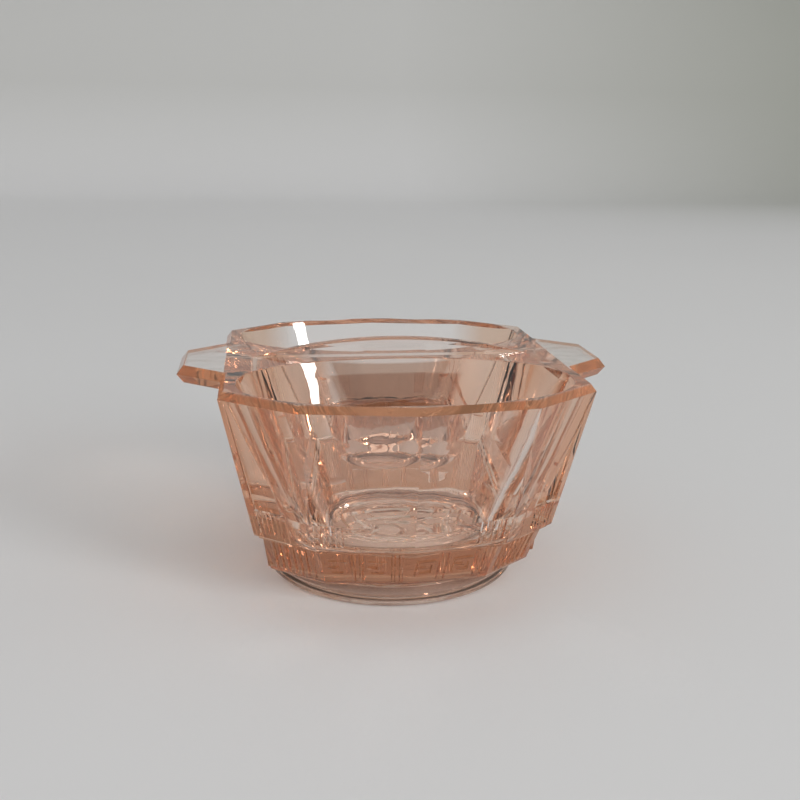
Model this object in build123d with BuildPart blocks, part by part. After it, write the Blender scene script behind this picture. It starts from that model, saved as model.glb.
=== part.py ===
"""Two-well pressed glass dish on a round foot, origin under the centre of the foot, +Z up, mm.

The dish is one glass moulding.  It is split here at its own edges: the walls of the two
wells, the wall between them, the arched crest on that wall, the two side tabs, the reeded
band, the key band with the well floors, and the foot.
"""
from build123d import *
import math
import os

os.makedirs("parts", exist_ok=True)

# heights
RIM_Z = 37.0          # flat top face
BEVEL_Z = 35.8        # lower edge of the bevel under the top face
PANEL_Z = 17.3        # bottom of the tall flat panels
LEDGE_Z = 12.5        # ledge between reeded band and key band
WAIST_Z = 4.3         # underside of the key band
RING_Z = 2.8          # top of the foot ring
UNDER_Z = 1.8         # underside of the base inside the foot ring
CREST_RISE = 3.1      # crest above the top face

# ten-sided plan: distance from the axis of the side, corner and end faces
CORNER_DIR = (0.621, 0.784)
END_DIR = (0.155, 0.988)
TOP = (28.0, 35.55, 33.87)
WIDEST = (28.9, 36.45, 34.77)
FOOT_OF_WALL = (24.1, 30.25, 28.86)
BAND_TOP = (22.9, 28.9, 27.5)
BAND_LOW = (21.6, 24.5, 22.7)

# wells: half width, half depth, distance of the middle from the centre line
WELL_POWER = 2.2
WELL_TOP = (26.2, 15.3, 18.3)
WELL_TURN = (17.0, 9.35, 17.85)
WELL_FLOOR = (14.2, 7.0, 17.4)
TURN_Z = 16.5         # where the wall of a well turns into its floor
FLOOR_Z = 11.5
WELL_POINTS = 36

# middle wall and crest
MIDDLE_HALF = 3.0
CREST_HALF_SPAN = 23.5
CREST_HALF = 1.3

# side tabs
TAB_ROOT_X = 24.0
TAB_ROOT_HALF = 11.6
TAB_JOIN_X = 28.0
TAB_END_X = 35.04
TAB_END_HALF = 5.7
TAB_BEVEL = 1.1
TAB_MID_Z = 35.6
TAB_LOW_Z = 34.1

# foot
WAIST_R = 20.8
RING_TOP_R = 21.6
RING_R = 22.0
RING_IN_R = 18.6
RING_EDGE = 0.7
BASE_RING_R = (14.0, 11.0, 7.0)
BASE_RING_DEEP = 0.5
BASE_RING_WIDE = 1.2

# shallow flutes in the panels, and the reeds below them
FLUTE_SHALLOW = 0.04
FLUTE_DEEP = 0.7
FLUTE_CLEAR = 2.0     # how far the cutter stands off the face
REED_PITCH = 1.3
REED_R = 0.42
REED_SPANS = ((-13.0, -7.0), (7.0, 13.0))

# raised key squares and ribs on the key band
KEY_SIZE = 3.1
KEY_LINE = 0.58
KEY_LOW = 2.1         # above the lower edge of the band, along the face
KEY_PROUD = 0.36
KEY_PITCH = 7.2
KEY_SHIFT = -1.35     # keys sit to one side of each repeat, ribs to the other
RIB_WIDE = 0.6
RIB_SHIFTS = (1.1, 2.3)
RIB_LOW = 0.9
RIB_HIGH = 7.4
LONG_FLAT = 12.0      # flats shorter than this carry ribs only
RIB_PITCH = 1.25

# flutes: flat number, share of the flat at the top, share at the ledge
FLUTES = (
    (0, (0.08, 0.30), (0.10, 0.54)),
    (3, (0.70, 0.92), (0.46, 0.90)),
    (4, (0.03, 0.97), (0.05, 0.95)),
    (5, (0.08, 0.30), (0.10, 0.54)),
    (8, (0.70, 0.92), (0.46, 0.90)),
    (9, (0.03, 0.97), (0.05, 0.95)),
)
SIDE_FLATS = (4, 9)


def at_height(low, high, z_low, z_high, z):
    """Three face distances part way between two levels."""
    t = (z - z_low) / (z_high - z_low)
    return tuple(a + (b - a) * t for a, b in zip(low, high))


def outline(side, corner, end):
    """Corner points of the ten-sided plan."""
    cx, cy = CORNER_DIR
    ex, ey = END_DIR
    det = cx * ey - cy * ex
    first = (side, (corner - cx * side) / cy)
    second = ((corner * ey - end * cy) / det, (cx * end - ex * corner) / det)
    tip = (0.0, end / ey)
    right = [first, second]
    left = [(-x, y) for x, y in reversed(right)]
    top = right + [tip] + left
    return top + [(-x, -y) for x, y in top]


def well_curve(half_wide, half_deep, middle):
    """Points round one oval well on the -Y side."""
    points = []
    for i in range(WELL_POINTS):
        a = 2 * math.pi * i / WELL_POINTS
        c = math.cos(a)
        s = math.sin(a)
        x = half_wide * math.copysign(abs(c) ** (2 / WELL_POWER), c)
        y = half_deep * math.copysign(abs(s) ** (2 / WELL_POWER), s)
        points.append((x, y - middle))
    return points


def level(z, distances):
    """Ten-sided sketch at a height."""
    with BuildSketch(Plane.XY.offset(z)) as flat:
        Polygon(*outline(*distances), align=None)
    return flat.sketch


def well_level(z, sizes, sign):
    """Oval sketch at a height, on the -Y side for sign 1 and the +Y side for sign -1."""
    with BuildSketch(Plane.XY.offset(z)) as flat:
        with BuildLine():
            Spline(*[(x, sign * y) for x, y in well_curve(*sizes)], periodic=True)
        make_face()
    return flat.sketch


def cut_wells():
    """Take both wells out of the part being built."""
    for sign in (1, -1):
        turn = well_level(TURN_Z, WELL_TURN, sign)
        rim = well_level(RIM_Z, WELL_TOP, sign)
        floor = well_level(FLOOR_Z, WELL_FLOOR, sign)
        loft([turn, rim], ruled=True, mode=Mode.SUBTRACT)
        loft([floor, turn], ruled=True, mode=Mode.SUBTRACT)


WALL_AT_PANEL = at_height(FOOT_OF_WALL, WIDEST, LEDGE_Z, BEVEL_Z, PANEL_Z)


def wall_block(mode=Mode.ADD):
    """Solid block of the wall zone, from the panels' lower edge to the top face."""
    low = level(PANEL_Z, WALL_AT_PANEL)
    wide = level(BEVEL_Z, WIDEST)
    top = level(RIM_Z, TOP)
    loft([low, wide], ruled=True, mode=mode)
    loft([wide, top], ruled=True, mode=mode)


def flat_at(distances, edge):
    """Start, end, unit direction and unit outward normal of one flat of the plan."""
    points = outline(*distances)
    a = Vector(*points[edge])
    b = Vector(*points[(edge + 1) % len(points)])
    along = (b - a).normalized()
    return a, b, along, Vector(along.Y, -along.X)


def flute_level(z, edge, span, depth):
    """Plan of one flute cutter at a height of the wall."""
    sizes = at_height(FOOT_OF_WALL, WIDEST, LEDGE_Z, BEVEL_Z, z)
    a, b, along, out = flat_at(sizes, edge)
    ends = [a + (b - a) * t for t in span]
    quad = [ends[0] - out * depth, ends[1] - out * depth]
    quad += [ends[1] + out * FLUTE_CLEAR, ends[0] + out * FLUTE_CLEAR]
    with BuildSketch(Plane.XY.offset(z)) as flat:
        Polygon(*[(p.X, p.Y) for p in quad], align=None)
    return flat.sketch


def cut_flutes():
    """Shallow flutes in the panels, each ending in a small ledge."""
    for edge, top_span, low_span in FLUTES:
        top_z = TAB_LOW_Z if edge in SIDE_FLATS else BEVEL_Z - 0.5
        low = flute_level(PANEL_Z, edge, low_span, FLUTE_DEEP)
        top = flute_level(top_z, edge, top_span, FLUTE_SHALLOW)
        loft([low, top], ruled=True, mode=Mode.SUBTRACT)


def keep_between(y_low, y_high):
    """Keep only the slice of the part between two depths."""
    with BuildSketch(Plane.XY) as slice_plan:
        with Locations((0, (y_low + y_high) / 2)):
            Rectangle(4 * RIM_Z, y_high - y_low)
    extrude(slice_plan.sketch, amount=2 * RIM_Z, mode=Mode.INTERSECT)


# walls of the two wells
with BuildPart() as front_wall:
    wall_block()
    cut_flutes()
    cut_wells()
    keep_between(-2 * RIM_Z, -MIDDLE_HALF)

with BuildPart() as back_wall:
    wall_block()
    cut_flutes()
    cut_wells()
    keep_between(MIDDLE_HALF, 2 * RIM_Z)

# wall between the wells
with BuildPart() as middle_wall:
    wall_block()
    cut_flutes()
    cut_wells()
    keep_between(-MIDDLE_HALF, MIDDLE_HALF)

# arched crest standing on the middle wall
with BuildPart() as crest:
    with BuildSketch(Plane.XZ):
        with BuildLine():
            ThreePointArc(
                (-CREST_HALF_SPAN, RIM_Z),
                (0, RIM_Z + CREST_RISE),
                (CREST_HALF_SPAN, RIM_Z),
            )
            Line((CREST_HALF_SPAN, RIM_Z), (-CREST_HALF_SPAN, RIM_Z))
        make_face()
    extrude(amount=CREST_HALF, both=True)


def tab_level(z, grow, sign):
    """Tab plan at a height, grown outwards by a bevel."""
    with BuildSketch(Plane.XY.offset(z)) as flat:
        Polygon(
            (sign * TAB_ROOT_X, -TAB_ROOT_HALF - grow),
            (sign * TAB_JOIN_X, -TAB_ROOT_HALF - grow),
            (sign * (TAB_END_X + grow), -TAB_END_HALF - grow / 2),
            (sign * (TAB_END_X + grow), TAB_END_HALF + grow / 2),
            (sign * TAB_JOIN_X, TAB_ROOT_HALF + grow),
            (sign * TAB_ROOT_X, TAB_ROOT_HALF + grow),
            align=None,
        )
    return flat.sketch


def tab(sign):
    """One side tab, cut to the face of the wall."""
    low = tab_level(TAB_LOW_Z, 0, sign)
    wide = tab_level(TAB_MID_Z, TAB_BEVEL, sign)
    top = tab_level(RIM_Z, 0, sign)
    loft([low, wide], ruled=True)
    loft([wide, top], ruled=True)
    wall_block(Mode.SUBTRACT)


with BuildPart() as right_tab:
    tab(1)

with BuildPart() as left_tab:
    tab(-1)


def end_reeds(z_low, low, z_high, high, sign, first, last):
    """Upright half-round reeds over one end of the dish."""
    count = int((last - first) / REED_PITCH)
    for i in range(count + 1):
        share = first + i * REED_PITCH
        y_low = (low[2] - END_DIR[0] * abs(share)) / END_DIR[1]
        y_high = (high[2] - END_DIR[0] * abs(share)) / END_DIR[1]
        with BuildSketch(Plane.XY.offset(z_low)) as start:
            with Locations((share, -sign * y_low)):
                Circle(REED_R)
        with BuildSketch(Plane.XY.offset(z_high)) as stop:
            with Locations((share, -sign * y_high)):
                Circle(REED_R)
        loft([start.sketch, stop.sketch], ruled=True)


# reeded band under the panels
with BuildPart() as reeded_band:
    loft([level(LEDGE_Z, FOOT_OF_WALL), level(PANEL_Z, WALL_AT_PANEL)], ruled=True)
    cut_wells()
    for sign in (1, -1):
        for first, last in REED_SPANS:
            end_reeds(LEDGE_Z, FOOT_OF_WALL, PANEL_Z, WALL_AT_PANEL, sign, first, last)

def band_plane(edge):
    """Plane on one flat of the key band: x along the flat, y up the face, origin on the lower edge."""
    a, b, along, out = flat_at(BAND_LOW, edge)
    c, d, _, _ = flat_at(BAND_TOP, edge)
    foot_mid = (a + b) / 2
    top_mid = (c + d) / 2
    rise = Vector(top_mid.X, top_mid.Y, LEDGE_Z) - Vector(foot_mid.X, foot_mid.Y, WAIST_Z)
    normal = along.cross(rise).normalized()
    return Plane(origin=(foot_mid.X, foot_mid.Y, WAIST_Z), x_dir=along, z_dir=normal)


def key_outline(left, low):
    """Square spiral of one line."""
    size, line = KEY_SIZE, KEY_LINE
    turn, stop = 0.58 * size, 0.55 * size
    path = [
        (0, size), (size, size), (size, 0), (0, 0), (0, turn), (stop, turn), (stop, turn - line),
        (line, turn - line), (line, line), (size - line, line), (size - line, size - line), (0, size - line),
    ]
    return [(left + x, low + y) for x, y in path]


def band_relief(edge):
    """Key squares and ribs standing proud of one flat of the key band."""
    a, b, _, _ = flat_at(at_height(BAND_LOW, BAND_TOP, 0, 1, 0.5), edge)
    length = (b - a).length
    is_long = length > LONG_FLAT
    groups = round(length / KEY_PITCH) if is_long else 1
    shifts = RIB_SHIFTS if is_long else [RIB_PITCH * (i - 3) for i in range(7)]
    with BuildSketch(band_plane(edge)) as relief:
        for group in range(groups):
            middle = (group + 0.5 - groups / 2) * (length - 1.4) / groups
            if is_long:
                Polygon(*key_outline(middle + KEY_SHIFT - KEY_SIZE / 2, KEY_LOW), align=None)
            for shift in shifts:
                with Locations((middle + shift, (RIB_LOW + RIB_HIGH) / 2)):
                    Rectangle(RIB_WIDE, RIB_HIGH - RIB_LOW)
    return relief.sketch


# key band with the floors of the wells
with BuildPart() as key_band:
    loft([level(WAIST_Z, BAND_LOW), level(LEDGE_Z, BAND_TOP)], ruled=True)
    for edge in range(10):
        extrude(band_relief(edge), amount=KEY_PROUD)
    cut_wells()

# round foot with rings pressed into the underside
with BuildPart() as foot:
    with BuildSketch(Plane.XZ):
        with BuildLine():
            Polyline(
                (0, UNDER_Z),
                (RING_IN_R, UNDER_Z),
                (RING_IN_R + RING_EDGE, 0),
                (RING_R - RING_EDGE, 0),
            )
            ThreePointArc(
                (RING_R - RING_EDGE, 0),
                (RING_R, RING_Z / 2),
                (RING_TOP_R - RING_EDGE, RING_Z),
            )
            Polyline(
                (RING_TOP_R - RING_EDGE, RING_Z),
                (WAIST_R, WAIST_Z),
                (0, WAIST_Z),
                (0, UNDER_Z),
            )
        make_face()
    revolve(axis=Axis.Z)
    for radius in BASE_RING_R:
        with BuildSketch(Plane.XY.offset(UNDER_Z)):
            Circle(radius)
            Circle(radius - BASE_RING_WIDE, mode=Mode.SUBTRACT)
        extrude(amount=BASE_RING_DEEP, mode=Mode.SUBTRACT)

front_wall.part.label = "front_wall"
back_wall.part.label = "back_wall"
middle_wall.part.label = "middle_wall"
crest.part.label = "crest"
right_tab.part.label = "right_tab"
left_tab.part.label = "left_tab"
reeded_band.part.label = "reeded_band"
key_band.part.label = "key_band"
foot.part.label = "foot"

export_step(front_wall.part, "parts/front_wall.step")
export_step(back_wall.part, "parts/back_wall.step")
export_step(middle_wall.part, "parts/middle_wall.step")
export_step(crest.part, "parts/crest.step")
export_step(right_tab.part, "parts/right_tab.step")
export_step(left_tab.part, "parts/left_tab.step")
export_step(reeded_band.part, "parts/reeded_band.step")
export_step(key_band.part, "parts/key_band.step")
export_step(foot.part, "parts/foot.step")

for piece in (front_wall, back_wall, middle_wall, crest, right_tab, left_tab, reeded_band, key_band, foot):
    size = piece.part.bounding_box().size
    solids = len(piece.part.solids())
    print(piece.part.label, solids, round(piece.part.volume, 1), [round(v, 2) for v in size])
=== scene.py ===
import math

import bmesh
import bpy
from mathutils import Matrix, Quaternion, Vector


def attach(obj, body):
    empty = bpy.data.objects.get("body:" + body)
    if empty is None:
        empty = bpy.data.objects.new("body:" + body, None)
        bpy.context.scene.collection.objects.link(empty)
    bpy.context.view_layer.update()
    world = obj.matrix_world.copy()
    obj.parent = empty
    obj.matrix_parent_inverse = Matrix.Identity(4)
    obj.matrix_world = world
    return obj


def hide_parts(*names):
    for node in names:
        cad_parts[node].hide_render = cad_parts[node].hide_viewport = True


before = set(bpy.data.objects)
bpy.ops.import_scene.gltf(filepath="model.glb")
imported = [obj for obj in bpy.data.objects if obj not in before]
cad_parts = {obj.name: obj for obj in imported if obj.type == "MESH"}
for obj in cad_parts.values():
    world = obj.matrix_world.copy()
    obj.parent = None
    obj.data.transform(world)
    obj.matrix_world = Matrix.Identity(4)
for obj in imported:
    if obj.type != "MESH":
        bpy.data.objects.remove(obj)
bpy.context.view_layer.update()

# Two-well pressed glass dish on a round foot: one closed glass mesh that stands for all the
# nodes of the part, on a pale table.  Shapes are given in mm and scaled by MM.
MM = 0.001
MERGE = 0.000004      # metres; closer points become one

# ---------------------------------------------------------------- heights, mm
RIM_Z = 37.0          # flat top face
BEVEL_Z = 35.8        # lower edge of the bevel under the top face
PANEL_Z = 17.3        # bottom of the tall flat panels
BEAD_Z = 13.5         # lower end of the reeds
LEDGE_Z = 12.5        # ledge between the wall and the key band
WAIST_Z = 4.3         # underside of the key band
UNDER_Z = 1.8         # underside of the base inside the foot ring
CREST_RISE = 3.1      # crest above the top face

# ten-sided plan, mm: distance from the axis of the side, corner and end faces
CORNER_DIR = (0.621, 0.784)
END_DIR = (0.155, 0.988)
TOP = (28.0, 35.55, 33.87)
WIDEST = (28.9, 36.45, 34.77)
FOOT_OF_WALL = (24.1, 30.25, 28.86)
BAND_TOP = (22.9, 28.9, 27.5)
BAND_LOW = (21.6, 24.5, 22.7)
BAND_IN = tuple(d - 2.5 for d in BAND_TOP)

# wells, mm: half width, half depth, distance of the middle from the centre line
WELL_TOP = (26.2, 15.3, 18.3)
WELL_TURN = (17.0, 9.35, 17.85)
WELL_FLOOR = (14.2, 7.0, 17.4)
TURN_Z = 16.5         # where the wall of a well turns into its floor
FLOOR_Z = 11.5
FLOOR_DIP = 1.0       # middle of the floor below its edge
FLOOR_RINGS = 5
WELL_POWER = 2.2
LIP_Z = 0.35          # height of the rounded lip of a well

# flutes, reeds, keys and ribs, mm
FLUTE_SHALLOW = 0.04
FLUTE_DEEP = 0.7
FLUTE_CLEAR = 2.0     # how far the cutter stands off the face
REED_PITCH = 0.82
REED_R = 0.29
KEY_SIZE = 3.1
KEY_LINE = 0.58
KEY_LOW_Z = 6.3
KEY_PROUD = 0.36
KEY_PITCH = 7.2
KEY_SHIFT = 1.35      # key from the middle of its group, to one side
RIB_PAIR = (1.1, 2.3)      # the two ribs from the middle of the group, to the other side
RIB_PITCH = 1.25      # on the narrow flats, which have only ribs
RIB_R = 0.36
WIDE_FLAT = 12.0      # a flat of the band that is wider than this has keys

# foot, mm
RIPPLES = ((7.0, 1.1), (11.0, 1.1), (14.2, 1.2))      # radius and half width of the rings underneath
RIPPLE_DEEP = 0.45
BASE_R = 18.3         # the flat underside ends here and the foot ring begins

# side tabs and crest, mm
TAB_ROOT_X, TAB_JOIN_X, TAB_END_X = 25.0, 28.0, 35.04
TAB_ROOT_HALF, TAB_END_HALF = 11.6, 5.7
TAB_LOW_Z, TAB_MID_Z = 34.1, 35.6
TAB_BEVEL = 1.1
CREST_HALF_SPAN = 23.5
CREST_HALF = 1.3
CREST_ROOT_Z = 36.2


# ---------------------------------------------------------------- mesh helpers
def mix(a, b, t):
    return tuple(p + (q - p) * t for p, q in zip(a, b))


def outline(side, corner, end):
    """Corner points of the ten-sided plan, anticlockwise from the right-hand back corner."""
    cx, cy = CORNER_DIR
    ex, ey = END_DIR
    det = cx * ey - cy * ex
    first = (side, (corner - cx * side) / cy)
    second = ((corner * ey - end * cy) / det, (cx * end - ex * corner) / det)
    tip = (0.0, end / ey)
    right = [first, second]
    left = [(-x, y) for x, y in reversed(right)]
    top = right + [tip] + left
    return top + [(-x, -y) for x, y in top]


def new_object(name, bm):
    bmesh.ops.recalc_face_normals(bm, faces=bm.faces)
    mesh = bpy.data.meshes.new(name)
    bm.to_mesh(mesh)
    bm.free()
    obj = bpy.data.objects.new(name, mesh)
    bpy.context.scene.collection.objects.link(obj)
    return obj


def stack(bm, rings):
    """Closed skin over a stack of rings with the same number of points, in mm."""
    rows = [[bm.verts.new(Vector(p) * MM) for p in ring] for ring in rings]
    n = len(rows[0])
    for low, high in zip(rows, rows[1:]):
        for i in range(n):
            j = (i + 1) % n
            bm.faces.new((low[i], low[j], high[j], high[i]))
    bm.faces.new(list(reversed(rows[0])))
    bm.faces.new(rows[-1])


def hull(bm, points):
    """Convex block round a few points, in mm."""
    verts = [bm.verts.new(Vector(p) * MM) for p in points]
    out = bmesh.ops.convex_hull(bm, input=verts)
    loose = [v for v in out["geom_interior"] if isinstance(v, bmesh.types.BMVert)]
    if loose:
        bmesh.ops.delete(bm, geom=loose, context="VERTS")


def boolean(target, tool, how):
    """Exact boolean, applied, then the tool is removed."""
    mod = target.modifiers.new("cut", "BOOLEAN")
    mod.operation = how
    mod.solver = "EXACT"
    mod.object = tool
    bpy.context.view_layer.update()
    depsgraph = bpy.context.evaluated_depsgraph_get()
    mesh = bpy.data.meshes.new_from_object(target.evaluated_get(depsgraph))
    target.modifiers.clear()
    old = target.data
    target.data = mesh
    bpy.data.meshes.remove(old)
    bpy.data.objects.remove(tool, do_unlink=True)


def soften(bm, width, least_deg, segments=2):
    """Round the hard edges of a simple block before it is joined."""
    edges = [e for e in bm.edges if len(e.link_faces) == 2 and e.calc_face_angle(0) > math.radians(least_deg)]
    bmesh.ops.bevel(
        bm, geom=edges, offset=width * MM, segments=segments, profile=0.6, affect="EDGES", clamp_overlap=True
    )


# ---------------------------------------------------------------- wall of the two lobes
def wall_ring(z, distances):
    return [(x, y, z) for x, y in outline(*distances)]


def inset(distances, amount):
    return tuple(d - amount for d in distances)


bm = bmesh.new()
stack(bm, [
    wall_ring(LEDGE_Z, FOOT_OF_WALL),
    wall_ring(BEVEL_Z, WIDEST),
    wall_ring(RIM_Z, TOP),
])
soften(bm, 0.34, 8, segments=4)
body = new_object("pressed_glass", bm)

# a second, smaller step under the wall
bm = bmesh.new()
stack(bm, [
    wall_ring(LEDGE_Z - 0.62, inset(FOOT_OF_WALL, 0.75)),
    wall_ring(LEDGE_Z + 1.3, inset(FOOT_OF_WALL, 0.55)),
])
soften(bm, 0.15, 20)
boolean(body, new_object("step", bm), "UNION")


def flat(edge, distances):
    """Ends of one flat of a plan, with the directions along it and out of it."""
    points = outline(*distances)
    a = Vector(points[edge])
    b = Vector(points[(edge + 1) % len(points)])
    along = (b - a).normalized()
    return a, b, along, Vector((along.y, -along.x))


def on_wall(edge, t, z, depth):
    """Point on one flat of the wall: how far along the flat, height, and depth under the face."""
    a, b, along, out = flat(edge, mix(FOOT_OF_WALL, WIDEST, (z - LEDGE_Z) / (BEVEL_Z - LEDGE_Z)))
    p = a.lerp(b, t) - out * depth
    return (p.x, p.y, z)


def flute(bm, edge, top_span, low_span):
    """Shallow flat cut, running out at the rim and ending in a ledge."""
    points = []
    for z, span, depth in ((BEVEL_Z - 0.5, top_span, FLUTE_SHALLOW), (PANEL_Z, low_span, FLUTE_DEEP)):
        for t in span:
            points.append(on_wall(edge, t, z, depth))
            points.append(on_wall(edge, t, z, -FLUTE_CLEAR))
    hull(bm, points)


# flats count anticlockwise, 0 being the right-hand back diagonal; the two spans are shares of the
# flat's width at the rim and at the foot of the panel
FLUTES = [
    (0, (0.08, 0.30), (0.10, 0.54)),
    (3, (0.70, 0.92), (0.46, 0.90)),
    (4, (0.03, 0.97), (0.05, 0.95)),
    (5, (0.08, 0.30), (0.10, 0.54)),
    (8, (0.70, 0.92), (0.46, 0.90)),
    (9, (0.03, 0.97), (0.05, 0.95)),
]
bm = bmesh.new()
for edge, top_span, low_span in FLUTES:
    flute(bm, edge, top_span, low_span)
boolean(body, new_object("flutes", bm), "DIFFERENCE")


# ---------------------------------------------------------------- rods, for reeds and ribs
def rod(bm, a, b, radius, sides=8):
    """Slim rod from a to b, in mm."""
    a, b = Vector(a), Vector(b)
    along = (b - a).normalized()
    u = along.cross(Vector((0, 0, 1)))
    u = u.normalized() if u.length > 1e-6 else Vector((1, 0, 0))
    v = along.cross(u).normalized()
    rings = []
    for p in (a, b):
        ring = []
        for i in range(sides):
            t = 2 * math.pi * (i + 0.5) / sides
            ring.append(tuple(p + u * (radius * math.cos(t)) + v * (radius * math.sin(t))))
        rings.append(ring)
    stack(bm, rings)


# ---------------------------------------------------------------- key band
bm = bmesh.new()
stack(bm, [
    wall_ring(WAIST_Z, BAND_LOW),
    wall_ring(LEDGE_Z - 0.1, BAND_TOP),
    wall_ring(LEDGE_Z + 1.7, BAND_IN),
])
soften(bm, 0.3, 8)
boolean(body, new_object("band", bm), "UNION")


def on_band(edge, t_mm, z, depth):
    """Point on one flat of the key band, measured in mm from the middle of the flat."""
    a, b, along, out = flat(edge, mix(BAND_LOW, BAND_TOP, (z - WAIST_Z) / (LEDGE_Z - WAIST_Z)))
    p = a.lerp(b, 0.5) + along * t_mm - out * depth
    return (p.x, p.y, z)


def key(bm, edge, middle, size=KEY_SIZE, line=KEY_LINE):
    """Square spiral of one line, as one raised prism."""
    left = middle - size / 2
    turn, stop = 0.58 * size, 0.55 * size
    path = [
        (0, size), (size, size), (size, 0), (0, 0), (0, turn), (stop, turn), (stop, turn - line),
        (line, turn - line), (line, line), (size - line, line), (size - line, size - line), (0, size - line),
    ]
    rings = []
    for depth in (0.5, -KEY_PROUD):
        rings.append([on_band(edge, left + t, KEY_LOW_Z + z, depth) for t, z in path])
    stack(bm, rings)


# ---------------------------------------------------------------- foot
def revolve(bm, profile, steps=160):
    """Closed solid from a profile that starts and ends on the axis, in mm."""
    turns = [2 * math.pi * i / steps for i in range(steps)]
    rows = []
    for r, z in profile:
        if r < 1e-6:
            rows.append([bm.verts.new(Vector((0, 0, z)) * MM)])
        else:
            rows.append([bm.verts.new(Vector((r * math.cos(t), r * math.sin(t), z)) * MM) for t in turns])
    for low, high in zip(rows, rows[1:]):
        for i in range(steps):
            j = (i + 1) % steps
            if len(low) == 1:
                bm.faces.new((low[0], high[j], high[i]))
            elif len(high) == 1:
                bm.faces.new((low[i], low[j], high[0]))
            else:
                bm.faces.new((low[i], low[j], high[j], high[i]))


# underside with its rings, then the foot ring with two beads, then its root inside the band
profile = [(0.0, UNDER_Z)]
for i in range(1, 62):
    r = BASE_R * i / 61
    ripple = 0.0
    for centre, width in RIPPLES:
        d = (r - centre) / width
        if abs(d) < 1:
            ripple += RIPPLE_DEEP * (0.5 + 0.5 * math.cos(math.pi * d))
    profile.append((r, UNDER_Z + ripple))
profile += [(18.9, 1.2), (19.2, 0.4), (19.6, 0.06), (20.2, 0.0), (21.0, 0.0), (21.5, 0.12), (21.85, 0.4),
            (22.0, 0.8), (21.9, 1.2), (21.4, 1.45), (21.35, 1.6), (21.7, 1.8), (21.8, 2.1), (21.65, 2.5),
            (21.2, 2.8), (20.8, 2.95), (20.6, 3.3), (20.75, 3.8),
            (20.9, WAIST_Z + 0.1), (20.9, WAIST_Z + 1.2), (0.0, WAIST_Z + 1.2)]
bm = bmesh.new()
revolve(bm, profile)
boolean(body, new_object("foot_ring", bm), "UNION")


# ---------------------------------------------------------------- side tabs
def tab(sign):
    def ring(z, grow):
        half = [
            (TAB_ROOT_X, TAB_ROOT_HALF + grow), (TAB_JOIN_X, TAB_ROOT_HALF + grow),
            (TAB_END_X + grow, TAB_END_HALF + grow / 2),
        ]
        pts = [(x, -y) for x, y in half] + half[::-1]
        return [(sign * x, y, z) for x, y in pts]

    bmt = bmesh.new()
    stack(bmt, [ring(TAB_LOW_Z, 0.0), ring(TAB_MID_Z, TAB_BEVEL), ring(RIM_Z, 0.0)])
    soften(bmt, 0.3, 20, segments=4)
    return new_object("tab", bmt)


for sign in (1, -1):
    boolean(body, tab(sign), "UNION")

# ---------------------------------------------------------------- crest between the wells
# a low arch with a rounded top, thinner toward its ends
bm = bmesh.new()
rings = []
steps = 48
for i in range(steps + 1):
    x = CREST_HALF_SPAN * (-1 + 2 * i / steps) * 0.999
    lift = 1 - (x / CREST_HALF_SPAN) ** 2
    rise = 0.02 + (CREST_RISE - 0.04) * lift
    half = 0.1 + CREST_HALF * min(1, 2.2 * lift)
    side = [(half, CREST_ROOT_Z), (half, RIM_Z + 0.005), (0.94 * half, RIM_Z + 0.7 * rise),
            (0.8 * half, RIM_Z + 0.9 * rise), (0.45 * half, RIM_Z + rise)]
    ring = [(x, y, z) for y, z in side] + [(x, -y, z) for y, z in reversed(side)]
    rings.append(ring)
stack(bm, rings)
boolean(body, new_object("crest", bm), "UNION")


# ---------------------------------------------------------------- wells
def oval(sizes, z, sign, points=144):
    """Ring of points round one well at one height, a little squarer than an ellipse."""
    half_wide, half_deep, middle = sizes
    ring = []
    for i in range(points):
        a = 2 * math.pi * i / points
        c, s = math.cos(a), math.sin(a)
        x = half_wide * math.copysign(abs(c) ** (2 / WELL_POWER), c)
        y = half_deep * math.copysign(abs(s) ** (2 / WELL_POWER), s)
        ring.append((x, sign * (y - middle), z))
    return ring


def well(sign):
    """Cutter for one well: terraced floor, rounded turn, bowed wall and rounded lip."""
    rings = []
    half_wide, half_deep, middle = WELL_FLOOR
    step = 1 / FLOOR_RINGS
    for i in range(FLOOR_RINGS):
        low = FLOOR_Z - FLOOR_DIP * (1 - step * i)
        for share, rise in ((0.1, 0.0), (0.8, 0.03), (1.0, FLOOR_DIP * step)):
            t = step * (i + share)
            sizes = (half_wide * t, half_deep * t, middle + 1.6 * (1 - t))
            rings.append(oval(sizes, low + rise, sign))
    for i in range(1, 9):
        t = i / 8
        a = t * math.pi / 2
        sizes = mix(WELL_FLOOR, WELL_TURN, math.sin(a))
        rings.append(oval(sizes, FLOOR_Z + (TURN_Z - FLOOR_Z) * (1 - math.cos(a)), sign))
    for i in range(1, 17):
        t = i / 16
        bow = 0.35 * math.sin(math.pi * t)
        sizes = mix(WELL_TURN, WELL_TOP, t)
        sizes = (sizes[0] + bow, sizes[1] + bow * 0.4, sizes[2])
        rings.append(oval(sizes, TURN_Z + (RIM_Z - LIP_Z - TURN_Z) * t, sign))
    grown = (WELL_TOP[0] + 0.08, WELL_TOP[1] + 0.06, WELL_TOP[2])
    rings.append(oval(grown, RIM_Z - 0.15, sign))
    grown = (WELL_TOP[0] + 0.28, WELL_TOP[1] + 0.2, WELL_TOP[2])
    rings.append(oval(grown, RIM_Z + 0.05, sign))
    rings.append(oval(grown, RIM_Z + 6.0, sign))
    bmw = bmesh.new()
    stack(bmw, rings)
    return new_object("well", bmw)


for sign in (1, -1):
    boolean(body, well(sign), "DIFFERENCE")

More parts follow.
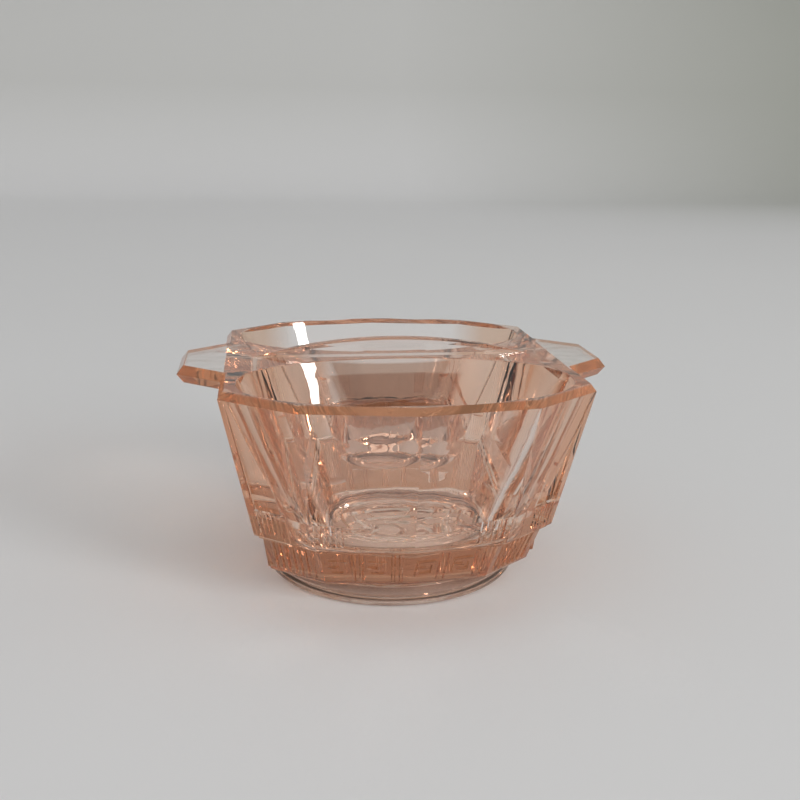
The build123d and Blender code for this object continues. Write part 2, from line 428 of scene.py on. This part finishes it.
# ---------------------------------------------------------------- fine relief, joined last
# reeds stand under each flute and at the outer parts of the two ends
bm = bmesh.new()
REEDED = [(edge, low_span) for edge, _, low_span in FLUTES]
REEDED += [(1, (0.03, 0.30)), (2, (0.66, 0.97)), (6, (0.03, 0.30)), (7, (0.66, 0.97))]
for edge, (first, last) in REEDED:
    length = (Vector(on_wall(edge, 0, PANEL_Z, 0)) - Vector(on_wall(edge, 1, PANEL_Z, 0))).length
    count = max(2, int((last - first) * length / REED_PITCH))
    for i in range(count):
        t = first + (i + 0.5) * (last - first) / count
        rod(bm, on_wall(edge, t, BEAD_Z, 0.1), on_wall(edge, t, PANEL_Z - 0.12, 0.1), REED_R)
boolean(body, new_object("reeds", bm), "UNION")

# keys with pairs of ribs on the wide flats of the band, ribs alone on the narrow ones
bmk = bmesh.new()
for edge in range(10):
    first, last = flat(edge, mix(BAND_LOW, BAND_TOP, 0.5))[:2]
    length = (last - first).length
    wide = length > WIDE_FLAT
    groups = round(length / KEY_PITCH) if wide else 1
    for g in range(groups):
        middle = (g + 0.5 - groups / 2) * (length - 1.4) / groups
        if wide:
            key(bmk, edge, middle - KEY_SHIFT)
            offsets = RIB_PAIR
        else:
            offsets = tuple(RIB_PITCH * (i - 3) for i in range(7))
        for off in offsets:
            low = on_band(edge, middle + off, WAIST_Z + 0.9, 0.08)
            high = on_band(edge, middle + off, LEDGE_Z - 0.6, 0.08)
            rod(bmk, low, high, RIB_R)
boolean(body, new_object("relief", bmk), "UNION")


# ---------------------------------------------------------------- clean up and shading
bm = bmesh.new()
bm.from_mesh(body.data)
bmesh.ops.remove_doubles(bm, verts=bm.verts, dist=MERGE)
bmesh.ops.dissolve_degenerate(bm, dist=MERGE, edges=bm.edges)
bmesh.ops.triangulate(bm, faces=[f for f in bm.faces if len(f.verts) > 4])
bmesh.ops.recalc_face_normals(bm, faces=bm.faces)
open_edges = sum(1 for e in bm.edges if len(e.link_faces) != 2)
volume = round(bm.calc_volume() * 1e6, 2)
print("glass faces", len(bm.faces), "open edges", open_edges, "volume cm3", volume)
bm.to_mesh(body.data)
bm.free()
for poly in body.data.polygons:
    poly.use_smooth = True
body.data.set_sharp_from_angle(angle=math.radians(16))


# ---------------------------------------------------------------- shading helpers
def nodes_of(material):
    material.use_nodes = True
    tree = material.node_tree
    tree.nodes.clear()
    return tree


def math_node(tree, operation, a, b=None, clamp=False):
    """One maths node; inputs are sockets or numbers."""
    node = tree.nodes.new("ShaderNodeMath")
    node.operation = operation
    node.use_clamp = clamp
    for socket, value in zip(node.inputs, (a, b)):
        if value is None:
            continue
        if isinstance(value, (int, float)):
            socket.default_value = value
        else:
            tree.links.new(value, socket)
    return node.outputs[0]


def times(tree, a, b):
    return math_node(tree, "MULTIPLY", a, b)


def minus(tree, a, b):
    return math_node(tree, "SUBTRACT", a, b)


def excess(tree, a, b, gain):
    """How far a is above b, times a gain, held between 0 and 1."""
    return math_node(tree, "MULTIPLY", minus(tree, a, b), gain, clamp=True)


def band_mask(tree, value, low, high, soft):
    """1 between low and high, falling to 0 over a soft edge."""
    return times(tree, excess(tree, value, low, 1 / soft), excess(tree, high, value, 1 / soft))


def lay_over(tree, colour, layers):
    """A colour with tints laid over it by their masks; the colour is a socket or four numbers."""
    for mask, tint in layers:
        blend = tree.nodes.new("ShaderNodeMix")
        blend.data_type = "RGBA"
        tree.links.new(mask, blend.inputs["Factor"])
        if isinstance(colour, tuple):
            blend.inputs["A"].default_value = colour
        else:
            tree.links.new(colour, blend.inputs["A"])
        blend.inputs["B"].default_value = tint
        colour = blend.outputs["Result"]
    return colour


# ---------------------------------------------------------------- glass material
GLASS_TINT = (0.995, 0.975, 0.965, 1)
THICK_TINT = (0.91, 0.69, 0.55, 1)
PANEL_TINT = (0.50, 0.31, 0.22, 1)
EDGE_TINT = (0.60, 0.26, 0.12, 1)
BAND_TINT = (0.58, 0.30, 0.17, 1)
FOOT_TINT = (0.50, 0.37, 0.31, 1)
SHADOW_TINT = (0.51, 0.475, 0.46, 1)
DEPTH_TINT = (0.97, 0.67, 0.45, 1)
DEPTH_DENSITY = 24.0
EDGE_HAZE = 0.36
BAND_HAZE = 0.12
FOOT_HAZE = 0.12


def glass_masks(tree, coords):
    """Where the glass gathers colour; heights and distances are in metres."""
    place = tree.nodes.new("ShaderNodeSeparateXYZ")
    tree.links.new(coords.outputs["Object"], place.inputs["Vector"])
    facing = tree.nodes.new("ShaderNodeSeparateXYZ")
    geometry = tree.nodes.new("ShaderNodeNewGeometry")
    tree.links.new(geometry.outputs["True Normal"], facing.inputs["Vector"])
    x, y, height = place.outputs["X"], place.outputs["Y"], place.outputs["Z"]
    reach = math_node(tree, "ABSOLUTE", x)
    depth = math_node(tree, "ABSOLUTE", y)
    slope = math_node(tree, "ABSOLUTE", facing.outputs["Z"])

    # bevels of the rim and of the tabs
    bevel_zone = band_mask(tree, height, 0.0352, 0.0371, 0.0003)
    rim = times(tree, bevel_zone, band_mask(tree, slope, 0.45, 0.93, 0.05))
    tab_zone = band_mask(tree, reach, 0.0290, 0.05, 0.0004)
    tabs = times(tree, tab_zone, band_mask(tree, slope, -1.0, 0.93, 0.03))
    edges = math_node(tree, "MAXIMUM", rim, tabs)

    # faces of the key band that look out or down, whichever side of the glass the ray is on
    outward = minus(tree, 1.0, math_node(tree, "MULTIPLY", geometry.outputs["Backfacing"], 2.0))
    upward = times(tree, facing.outputs["Z"], outward)
    band_zone = band_mask(tree, height, WAIST_Z * MM, LEDGE_Z * MM, 0.0004)
    band = times(tree, band_zone, excess(tree, 0.1, upward, 10.0))

    # foot ring, from a radius of about 18.4 mm outward
    radius_squared = math_node(tree, "ADD", times(tree, x, x), times(tree, y, y))
    ring = excess(tree, radius_squared, 0.00034, 100000.0)
    foot = times(tree, band_mask(tree, height, -0.01, WAIST_Z * MM, 0.0003), ring)

    # middle wall, narrower and paler downward
    narrow = math_node(tree, "MULTIPLY", minus(tree, 0.0345, height), 0.42)
    side = excess(tree, minus(tree, 0.0118, narrow), reach, 1000.0)
    fade = excess(tree, height, 0.0225, 200.0)
    wall_zone = band_mask(tree, depth, -1.0, 0.0096, 0.0006)
    panel = times(tree, wall_zone, band_mask(tree, height, 0.016, 0.0347, 0.0004))
    panel = times(tree, times(tree, panel, fade), side)

    # thick side walls
    thick = excess(tree, reach, 0.0165, 180.0)
    thick = times(tree, thick, band_mask(tree, slope, -1.0, 0.6, 0.1))
    return thick, panel, edges, band, foot


def glass_material():
    mat = bpy.data.materials.new("pink_glass")
    tree = nodes_of(mat)
    out = tree.nodes.new("ShaderNodeOutputMaterial")
    shader = tree.nodes.new("ShaderNodeBsdfPrincipled")
    shader.inputs["Transmission Weight"].default_value = 1.0
    shader.inputs["IOR"].default_value = 1.51
    shader.inputs["Roughness"].default_value = 0.0

    # slight waviness of a pressed surface
    coords = tree.nodes.new("ShaderNodeTexCoord")
    noise = tree.nodes.new("ShaderNodeTexNoise")
    noise.inputs["Scale"].default_value = 210.0
    noise.inputs["Detail"].default_value = 1.0
    bump = tree.nodes.new("ShaderNodeBump")
    bump.inputs["Strength"].default_value = 0.12
    bump.inputs["Distance"].default_value = 0.0004
    tree.links.new(coords.outputs["Object"], noise.inputs["Vector"])
    tree.links.new(noise.outputs["Fac"], bump.inputs["Height"])
    tree.links.new(bump.outputs["Normal"], shader.inputs["Normal"])

    # deeper tints where the glass gathers colour, and a little haze on the edges, band and foot
    thick, panel, edges, band, foot = glass_masks(tree, coords)
    colour = lay_over(tree, GLASS_TINT, (
        (thick, THICK_TINT), (panel, PANEL_TINT), (edges, EDGE_TINT), (band, BAND_TINT), (foot, FOOT_TINT),
    ))
    tree.links.new(colour, shader.inputs["Base Color"])
    haze = math_node(tree, "MULTIPLY", edges, EDGE_HAZE)
    haze = math_node(tree, "ADD", haze, math_node(tree, "MULTIPLY", band, BAND_HAZE))
    haze = math_node(tree, "ADD", haze, math_node(tree, "MULTIPLY", foot, FOOT_HAZE))
    tree.links.new(minus(tree, 1.0, haze), shader.inputs["Transmission Weight"])

    # colour gathered through the thickness
    absorb = tree.nodes.new("ShaderNodeVolumeAbsorption")
    absorb.inputs["Color"].default_value = DEPTH_TINT
    absorb.inputs["Density"].default_value = DEPTH_DENSITY
    tree.links.new(absorb.outputs["Volume"], out.inputs["Volume"])

    # the lamp shines through to the table with a flat tint
    path = tree.nodes.new("ShaderNodeLightPath")
    passing = tree.nodes.new("ShaderNodeBsdfTransparent")
    passing.inputs["Color"].default_value = SHADOW_TINT
    blend = tree.nodes.new("ShaderNodeMixShader")
    tree.links.new(path.outputs["Is Shadow Ray"], blend.inputs[0])
    tree.links.new(shader.outputs["BSDF"], blend.inputs[1])
    tree.links.new(passing.outputs["BSDF"], blend.inputs[2])
    tree.links.new(blend.outputs["Shader"], out.inputs["Surface"])
    return mat


body.data.materials.clear()
body.data.materials.append(glass_material())
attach(body, "root")
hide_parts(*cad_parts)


# ---------------------------------------------------------------- table and backdrop
TABLE_WHITES = ((0.70, 0.70, 0.71, 1), (0.74, 0.74, 0.75, 1))
WALL_TONE = (0.56, 0.56, 0.55, 1)
FAR_RIGHT_TONE = (0.36, 0.37, 0.33, 1)


def backdrop():
    """Table that turns up into a wall behind the dish, in metres."""
    bmf = bmesh.new()
    wide, near, far, turn, tall = 3.0, -1.2, 1.15, 0.25, 1.6
    line = [(near, 0.0), (0.0, 0.0), (far - turn, 0.0)]
    for i in range(1, 17):
        a = math.pi / 2 * i / 16
        line.append((far - turn + turn * math.sin(a), turn - turn * math.cos(a)))
    line.append((far, tall))
    rows = [[bmf.verts.new((x, y, z)) for x in (-wide, wide)] for y, z in line]
    for a, b in zip(rows, rows[1:]):
        bmf.faces.new((a[0], a[1], b[1], b[0]))
    obj = new_object("backdrop", bmf)
    for poly in obj.data.polygons:
        poly.use_smooth = True
    mat = bpy.data.materials.new("pale_table")
    tree = nodes_of(mat)
    out = tree.nodes.new("ShaderNodeOutputMaterial")
    shader = tree.nodes.new("ShaderNodeBsdfPrincipled")
    shader.inputs["Roughness"].default_value = 0.55
    coords = tree.nodes.new("ShaderNodeTexCoord")
    noise = tree.nodes.new("ShaderNodeTexNoise")
    noise.inputs["Scale"].default_value = 3.0
    ramp = tree.nodes.new("ShaderNodeValToRGB")
    for element, white in zip(ramp.color_ramp.elements, TABLE_WHITES):
        element.color = white
    tree.links.new(coords.outputs["Object"], noise.inputs["Vector"])
    tree.links.new(noise.outputs["Fac"], ramp.inputs["Fac"])
    place = tree.nodes.new("ShaderNodeSeparateXYZ")
    tree.links.new(coords.outputs["Object"], place.inputs["Vector"])
    right = excess(tree, place.outputs["X"], 0.15, 1.6)
    behind = excess(tree, place.outputs["Y"], 0.55, 2.5)
    raised = math_node(tree, "MULTIPLY", place.outputs["Z"], 8.0, clamp=True)
    colour = lay_over(tree, ramp.outputs["Color"], (
        (raised, WALL_TONE), (times(tree, right, behind), FAR_RIGHT_TONE),
    ))
    tree.links.new(colour, shader.inputs["Base Color"])
    tree.links.new(shader.outputs["BSDF"], out.inputs["Surface"])
    obj.data.materials.append(mat)
    return obj


backdrop()


# ---------------------------------------------------------------- light
WINDOW_PLACE = (0.70, -0.72, 0.465)
WINDOW_TARGET = (0.0, 0.0, 0.02)
WINDOW_SIZE = (0.14, 0.38)
WINDOW_WATTS = 4.8
WINDOW_COLOUR = (1.0, 0.99, 0.97)
WINDOW_LEAN = -28.0       # degrees round the line to the dish
ROOM_COLOUR = (0.98, 0.98, 0.97, 1)
ROOM_LEVEL = 0.59
ROOM_EXTRA = 0.4          # added low down on the side of the room toward -Y


def window():
    data = bpy.data.lights.new("window", "AREA")
    data.shape = "RECTANGLE"
    data.size, data.size_y = WINDOW_SIZE
    data.energy = WINDOW_WATTS
    data.color = WINDOW_COLOUR
    obj = bpy.data.objects.new("window", data)
    obj.location = WINDOW_PLACE
    direction = Vector(WINDOW_TARGET) - Vector(WINDOW_PLACE)
    lean = Quaternion((0, 0, 1), math.radians(WINDOW_LEAN))
    obj.rotation_mode = "QUATERNION"
    obj.rotation_quaternion = direction.to_track_quat("-Z", "Y") @ lean
    bpy.context.scene.collection.objects.link(obj)


def soft_room():
    world = bpy.data.worlds.new("soft_room")
    bpy.context.scene.world = world
    tree = nodes_of(world)
    out = tree.nodes.new("ShaderNodeOutputWorld")
    back = tree.nodes.new("ShaderNodeBackground")
    back.inputs["Color"].default_value = ROOM_COLOUR
    sky = tree.nodes.new("ShaderNodeTexCoord")
    toward = tree.nodes.new("ShaderNodeSeparateXYZ")
    tree.links.new(sky.outputs["Generated"], toward.inputs["Vector"])
    near_side = excess(tree, -0.25, toward.outputs["Y"], 3.0)
    bright = times(tree, near_side, band_mask(tree, toward.outputs["Z"], 0.05, 0.8, 0.15))
    level = math_node(tree, "ADD", math_node(tree, "MULTIPLY", bright, ROOM_EXTRA), ROOM_LEVEL)
    tree.links.new(level, back.inputs["Strength"])
    tree.links.new(back.outputs["Background"], out.inputs["Surface"])


window()
soft_room()


# ---------------------------------------------------------------- camera
CAMERA_PLACE = (-0.0215, -0.1677, 0.0744)
CAMERA_YAW = 7.8          # degrees to the right of +Y
CAMERA_PITCH = 15.1       # degrees down
CAMERA_ROLL = 0.75
LENS = 45.0
SENSOR = 36.0


def make_camera():
    yaw, pitch, roll = (math.radians(a) for a in (CAMERA_YAW, CAMERA_PITCH, CAMERA_ROLL))
    s, c = math.sin(yaw), math.cos(yaw)
    right = Vector((c, -s, 0))
    up = Vector((s * math.sin(pitch), c * math.sin(pitch), math.cos(pitch)))
    ahead = Vector((s * math.cos(pitch), c * math.cos(pitch), -math.sin(pitch)))
    side = right * math.cos(roll) + up * math.sin(roll)
    top = up * math.cos(roll) - right * math.sin(roll)
    data = bpy.data.cameras.new("camera")
    data.lens = LENS
    data.sensor_width = SENSOR
    data.clip_start = 0.01
    cam = bpy.data.objects.new("camera", data)
    place = Matrix((side, top, -ahead)).transposed().to_4x4()
    place.translation = Vector(CAMERA_PLACE)
    cam.matrix_world = place
    bpy.context.scene.collection.objects.link(cam)
    bpy.context.scene.camera = cam


make_camera()

# ---------------------------------------------------------------- render behaviour
scene = bpy.context.scene
scene.view_settings.view_transform = "Standard"
scene.cycles.max_bounces = 40
scene.cycles.transmission_bounces = 36
scene.cycles.glossy_bounces = 8
scene.cycles.transparent_max_bounces = 16
scene.cycles.use_denoising = True
scene.cycles.blur_glossy = 0.2
scene.cycles.sample_clamp_indirect = 30.0

# ---------------------------------------------------------------- final update of the scene
bpy.context.view_layer.update()
